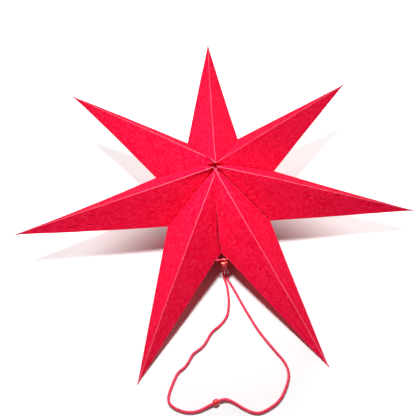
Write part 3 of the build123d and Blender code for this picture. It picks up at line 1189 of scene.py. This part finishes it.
@dataclass
class HangingCord:
    """The cord with its loop, its two tied ends and its stopper knots."""

    rope: TwistedRope = field(default_factory=TwistedRope)
    strand_gap: float = 0.5 * MM
    strand_foot_height: float = 8.0 * MM
    floor_clearance: float = 0.15 * MM
    bead_lift: float = 2.15 * MM
    tie_diameter: float = 2.4 * MM
    tie_back: float = 0.7 * MM
    knot_rope_diameter: float = 2.3 * MM
    root_body: str = "lower_right_arm"
    left_body: str = "lower_left_arm"
    # Route as in the part, with the left strand's small waves: across, towards the top and lift,
    # in millimetres from below the cinch bead
    left_strand: tuple = (
        (-1.0, -8.2, 0.0),
        (2.4, -20.0, 0.0),
        (3.0, -33.0, 0.0),
        (3.2, -46.0, 0.0),
        (2.0, -56.0, 0.0),
        (-1.3, -70.3, 0.0),
        (-12.2, -82.8, 0.0),
        (-24.4, -90.7, 0.0),
        (-31.3, -103.0, 0.0),
        (-38.5, -112.2, 0.0),
        (-50.8, -118.9, 0.0),
        (-56.4, -129.2, 0.0),
        (-62.2, -137.0, 0.0),
        (-71.1, -142.5, 0.0),
        (-75.6, -151.2, 0.0),
        (-82.2, -166.0, 0.0),
        (-84.2, -178.4, 0.0),
        (-76.5, -186.0, 0.0),
        (-63.0, -191.8, 0.0),
        (-48.5, -192.5, 0.0),
        (-34.0, -186.8, -0.4),
    )
    right_strand: tuple = (
        (-14.6, -179.0, 0.4),
        (-4.0, -182.5, 0.6),
        (10.0, -192.5, 0.0),
        (25.0, -199.5, 0.0),
        (41.0, -194.5, 0.0),
        (56.0, -185.0, 0.0),
        (66.0, -170.0, 0.0),
        (72.5, -154.0, 0.0),
        (69.5, -139.0, 0.0),
        (59.0, -124.0, 0.0),
        (48.5, -108.0, 0.0),
        (38.5, -91.0, 0.0),
        (30.0, -72.0, 0.0),
        (21.5, -52.0, 0.0),
        (13.0, -30.0, 0.0),
        (7.6, -18.2, 0.0),
        (2.9, -8.2, 0.0),
    )

    def __post_init__(self) -> None:
        """Finds the places of the cord's runs from the frame."""
        low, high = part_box("cinch_bead")
        radius = self.rope.diameter * HALF
        self.below = Vector(((low.x + high.x) * HALF, (low.y + high.y) * HALF, radius + self.floor_clearance))
        knots = {}
        for node in ("knot_left", "knot_right"):
            corner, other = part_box(node)
            knots[node] = (corner + other) * HALF
        self.knots = knots
        self.across = (knots["knot_right"] - knots["knot_left"]).normalized()
        self.offset = self.across * (self.rope.diameter + self.strand_gap) * HALF
        self.meeting_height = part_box("hanging_loop")[1].z
        self.tie_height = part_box("tie_end_left")[1].z - radius

    def route(self) -> list[Vector]:
        """The loop's route, from the left strand in the cinch bead round to the right one."""
        foot = self.below + UP * self.strand_foot_height
        top = Vector((self.below.x, self.below.y, self.meeting_height))
        left_top, right_top = top - self.offset, top + self.offset
        left_foot, right_foot = foot - self.offset, foot + self.offset
        straight = (left_foot - self.below - Vector(self.left_strand[0]) * MM).length
        left = [left_top, left_foot + UP * straight, left_foot]
        left += [self.below + Vector(step) * MM for step in self.left_strand]
        right = [self.below + Vector(step) * MM for step in self.right_strand]
        left[-1] += UP * self.bead_lift
        right[0] += UP * self.bead_lift
        return left + right + [right_foot, right_foot + UP * straight, right_top]

    def tie_route(self, side: int) -> list[Vector]:
        """Route of a tied end, from its knot along the line of the holes and down into the bead."""
        corner = Vector((self.below.x, self.below.y + self.tie_back, self.tie_height)) + self.offset * side
        knot = self.knots["knot_right" if side > 0 else "knot_left"]
        bottom = Vector((corner.x, corner.y, self.meeting_height))
        outwards = self.across * side
        beside = corner + outwards * (corner - bottom).length
        return [knot - outwards * self.rope.diameter * HALF, beside, corner, bottom]

    def knot(self, node: str, yarn: bpy.types.Material, body: str) -> bpy.types.Object:
        """Ties a stopper knot inside the ball that the part keeps for it."""
        low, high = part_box(node)
        ball = (high - low).y * HALF
        middle = self.knots[node]
        reach = ball - self.knot_rope_diameter * HALF
        frame_turn = self.across.to_track_quat("Z", "Y")
        line = []
        for step in range(73):
            angle = math.tau * step / 72
            round_radius = reach * (0.66 + 0.34 * math.cos(3 * angle))
            place = Vector((math.cos(2 * angle) * round_radius, math.sin(2 * angle) * round_radius,
                            reach * 0.42 * math.sin(3 * angle)))
            line.append(middle + frame_turn @ place)
        piece = self.rope.mesh(node + "_tied", line, self.knot_rope_diameter)
        dress(piece, yarn)
        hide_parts(node)
        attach(piece, body)
        return piece

    def build(self, yarn: bpy.types.Material, cinch: bpy.types.Object) -> None:
        """Args:
            yarn: the cord's finish.
            cinch: the bead that holds both strands, not used.
        """
        route = self.route()
        line = self.rope.evened(self.rope.line(route))
        loop = self.rope.mesh("hanging_loop_rope", line)
        dress(loop, yarn)
        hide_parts("hanging_loop")
        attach(loop, self.root_body)
        left = self.rope.mesh("tie_end_left_rope", self.rope.line(self.tie_route(-1)), self.tie_diameter)
        right = self.rope.mesh("tie_end_right_rope", self.rope.line(self.tie_route(1)), self.tie_diameter)
        for piece, node in ((left, "tie_end_left"), (right, "tie_end_right")):
            dress(piece, yarn)
            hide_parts(node)
        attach(right, self.root_body)
        start = self.tie_route(-1)
        tuple(start[2])
        tuple(start[0])
        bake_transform(left)
        knots = [self.knot("knot_left", yarn, self.left_body), self.knot("knot_right", yarn, self.root_body)]
        length = sum((other - one).length for one, other in zip(line, line[1:]))
        tuple(route[0])
        log.info("%s: %.3f m of cord, with %d pieces on it", loop.name, length, 4 + len(knots))


@dataclass
class Beads:
    """The bead that cinches the two strands and the bead on the loop."""

    cinch_node: str = "cinch_bead"
    cinch_body: str = "cinch_slider"
    cinch_joint: str = "cinch_slide"
    loop_node: str = "loop_bead"
    loop_joint: str = "loop_bead_spin"
    strand_offset: float = 2.05 * MM
    strand_room: float = 2.0 * MM
    lip_radius: float = 0.5 * MM
    crown_power: float = 0.8
    turns: int = 56
    crown_steps: int = 16

    def way(self, joint: str) -> Vector:
        """The way that a joint's axis points."""
        return Vector(next(one["axis"] for one in frame["joints"] if one["name"] == joint))

    def bore_reach(self, angle: float) -> float:
        """How far the wall of the cinch bead's oval bore lies from its middle, at an angle from across."""
        across, deep = abs(math.cos(angle)), abs(math.sin(angle))
        if deep * self.strand_offset > across * self.strand_room:
            return self.strand_room / deep
        inner = self.strand_room ** 2 - (self.strand_offset * deep) ** 2
        return self.strand_offset * across + math.sqrt(inner)

    def cinch_mesh(self, across: Vector) -> bpy.types.Object:
        """Turns the ball of the cinch bead round its oval bore, which holds the two strands side by side."""
        low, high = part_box(self.cinch_node)
        middle = (low + high) * HALF
        radius, half_height = (high - low).y * HALF, (high - low).z * HALF
        heading = math.atan2(across.y, across.x)
        rings = []
        for step in range(self.crown_steps + 1):
            angle = math.pi * step / self.crown_steps
            rings.append((math.sin(angle) ** self.crown_power, math.cos(angle)))
        points, faces = [], []
        for turn in range(self.turns):
            angle = math.tau * turn / self.turns
            out = Vector((math.cos(angle + heading), math.sin(angle + heading), 0))
            bore = self.bore_reach(angle)
            lip = bore + self.lip_radius
            for reach, rise in rings:
                points.append(middle + out * (lip + (radius - lip) * reach) + UP * half_height * rise)
            for rise in (-1, 1):
                points.append(middle + out * bore + UP * rise * (half_height - self.lip_radius))
        count = len(rings) + 2
        for turn in range(self.turns):
            here, ahead = turn * count, (turn + 1) % self.turns * count
            for step in range(count):
                after = (step + 1) % count
                faces.append([here + step, here + after, ahead + after, ahead + step])
        piece = mesh_object("cinch_bead_turned", points, faces)
        piece.data.shade_smooth()
        piece.data.set_sharp_from_angle(angle=math.radians(80))
        return piece

    def cinch(self, lacquer: bpy.types.Material, across: Vector) -> bpy.types.Object:
        """Makes the cinch bead in its node's place.

        Args:
            lacquer: the bead's finish.
            across: the way from the one strand to the other.

        Returns:
            The finished bead.
        """
        piece = self.cinch_mesh(across)
        dress(piece, lacquer)
        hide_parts(self.cinch_node)
        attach(piece, self.cinch_body)
        log.info("%s: %d faces", piece.name, len(piece.data.polygons))
        return piece

    def loop(self, lacquer: bpy.types.Material) -> None:
        """Dresses the turned bead on the loop."""
        dress(frame["nodes"][self.loop_node], lacquer)
        log.info("%s: lacquered", self.loop_node)


@dataclass
class Studio:
    """Floor, soft light and the camera at the photograph's viewing angle."""

    floor_size: float = 12.0
    picture: float = 416.0
    focal_pixels: float = 437.1
    sensor: float = 36.0
    camera_place: tuple = (-12.7, -460.0, 578.0)
    camera_elevation: float = 51.31
    camera_heading: float = 0.056
    camera_roll: float = -3.925
    key_place: tuple = (-0.07, -0.04, 0.70)
    key_size: float = 0.11
    key_power: float = 6.4
    fill_place: tuple = (0.8, 0.1, 0.4)
    fill_size: float = 0.35
    fill_power: float = 0.9
    glint_place: tuple = (-0.05, 0.30, 0.72)
    glint_size: float = 0.1
    glint_power: float = 0.4
    sky: float = 0.08

    def build(self) -> None:
        """Builds the floor, the lights, the world and the camera."""
        half = self.floor_size * HALF
        floor = mesh_object("floor", [(-half, -half, 0), (half, -half, 0), (half, half, 0), (-half, half, 0)],
                            [[0, 1, 2, 3]])
        dress(floor, PaleSweep().material())
        self.light("key", self.key_place, self.key_size, self.key_power)
        self.light("fill", self.fill_place, self.fill_size, self.fill_power)
        self.light("glint", self.glint_place, self.glint_size, self.glint_power)
        self.world()
        self.camera()
        bpy.context.scene.view_settings.view_transform = "Standard"

    def light(self, name: str, place: tuple, size: float, power: float) -> None:
        """Adds a square soft light that faces the star."""
        lamp = bpy.data.lights.new(name, "AREA")
        lamp.size = size
        lamp.energy = power
        holder = bpy.data.objects.new(name, lamp)
        holder.location = place
        holder.rotation_mode = "QUATERNION"
        holder.rotation_quaternion = (-Vector(place)).to_track_quat("-Z", "Y")
        bpy.context.scene.collection.objects.link(holder)

    def world(self) -> None:
        """Lights the scene evenly from all round, and shows white where the camera sees past the floor."""
        world = bpy.data.worlds.new("studio")
        world.use_nodes = True
        bench = NodeBench(world.node_tree)
        ground = world.node_tree.nodes["Background"]
        path = bench.add("ShaderNodeLightPath").outputs
        strength = bench.math("MAXIMUM", path["Is Camera Ray"], self.sky)
        world.node_tree.links.new(strength, ground.inputs["Strength"])
        ground.inputs["Color"].default_value = (1, 1, 1, 1)
        bpy.context.scene.world = world

    def camera(self) -> None:
        """Puts the camera where the photograph was taken from."""
        lens = bpy.data.cameras.new("camera")
        lens.sensor_width = self.sensor
        lens.lens = self.focal_pixels / self.picture * self.sensor
        lens.clip_start = 0.01
        holder = bpy.data.objects.new("camera", lens)
        holder.location = Vector(self.camera_place) * MM
        tilt = math.radians(90 - self.camera_elevation)
        heading = Matrix.Rotation(math.radians(self.camera_heading), 4, "Z")
        turned = heading @ Matrix.Rotation(tilt, 4, "X")
        turned @= Matrix.Rotation(math.radians(self.camera_roll), 4, "Z")
        holder.rotation_euler = turned.to_euler()
        bpy.context.scene.collection.objects.link(holder)
        bpy.context.scene.camera = holder


def main() -> None:
    """Builds the star, its cord and beads, and the studio round them."""
    logging.basicConfig(level=logging.INFO, format="%(message)s")
    effects = SheetEffects(felted_fibre(), worn_fold(), pressed_dimples())
    Studio().build()
    cord, beads, lacquer = HangingCord(), Beads(), LacqueredBead()
    cinch = beads.cinch(lacquer.material(effects, beads.way(beads.cinch_joint), "cinch"), cord.across)
    cord.build(SatinYarn().material(effects), cinch)
    beads.loop(lacquer.material(effects, beads.way(beads.loop_joint), "loop"))
    PaperStar(StarAxis.of_frame()).build(effects, DyedPaper().material(effects))


if __name__ == "__main__":
    main()
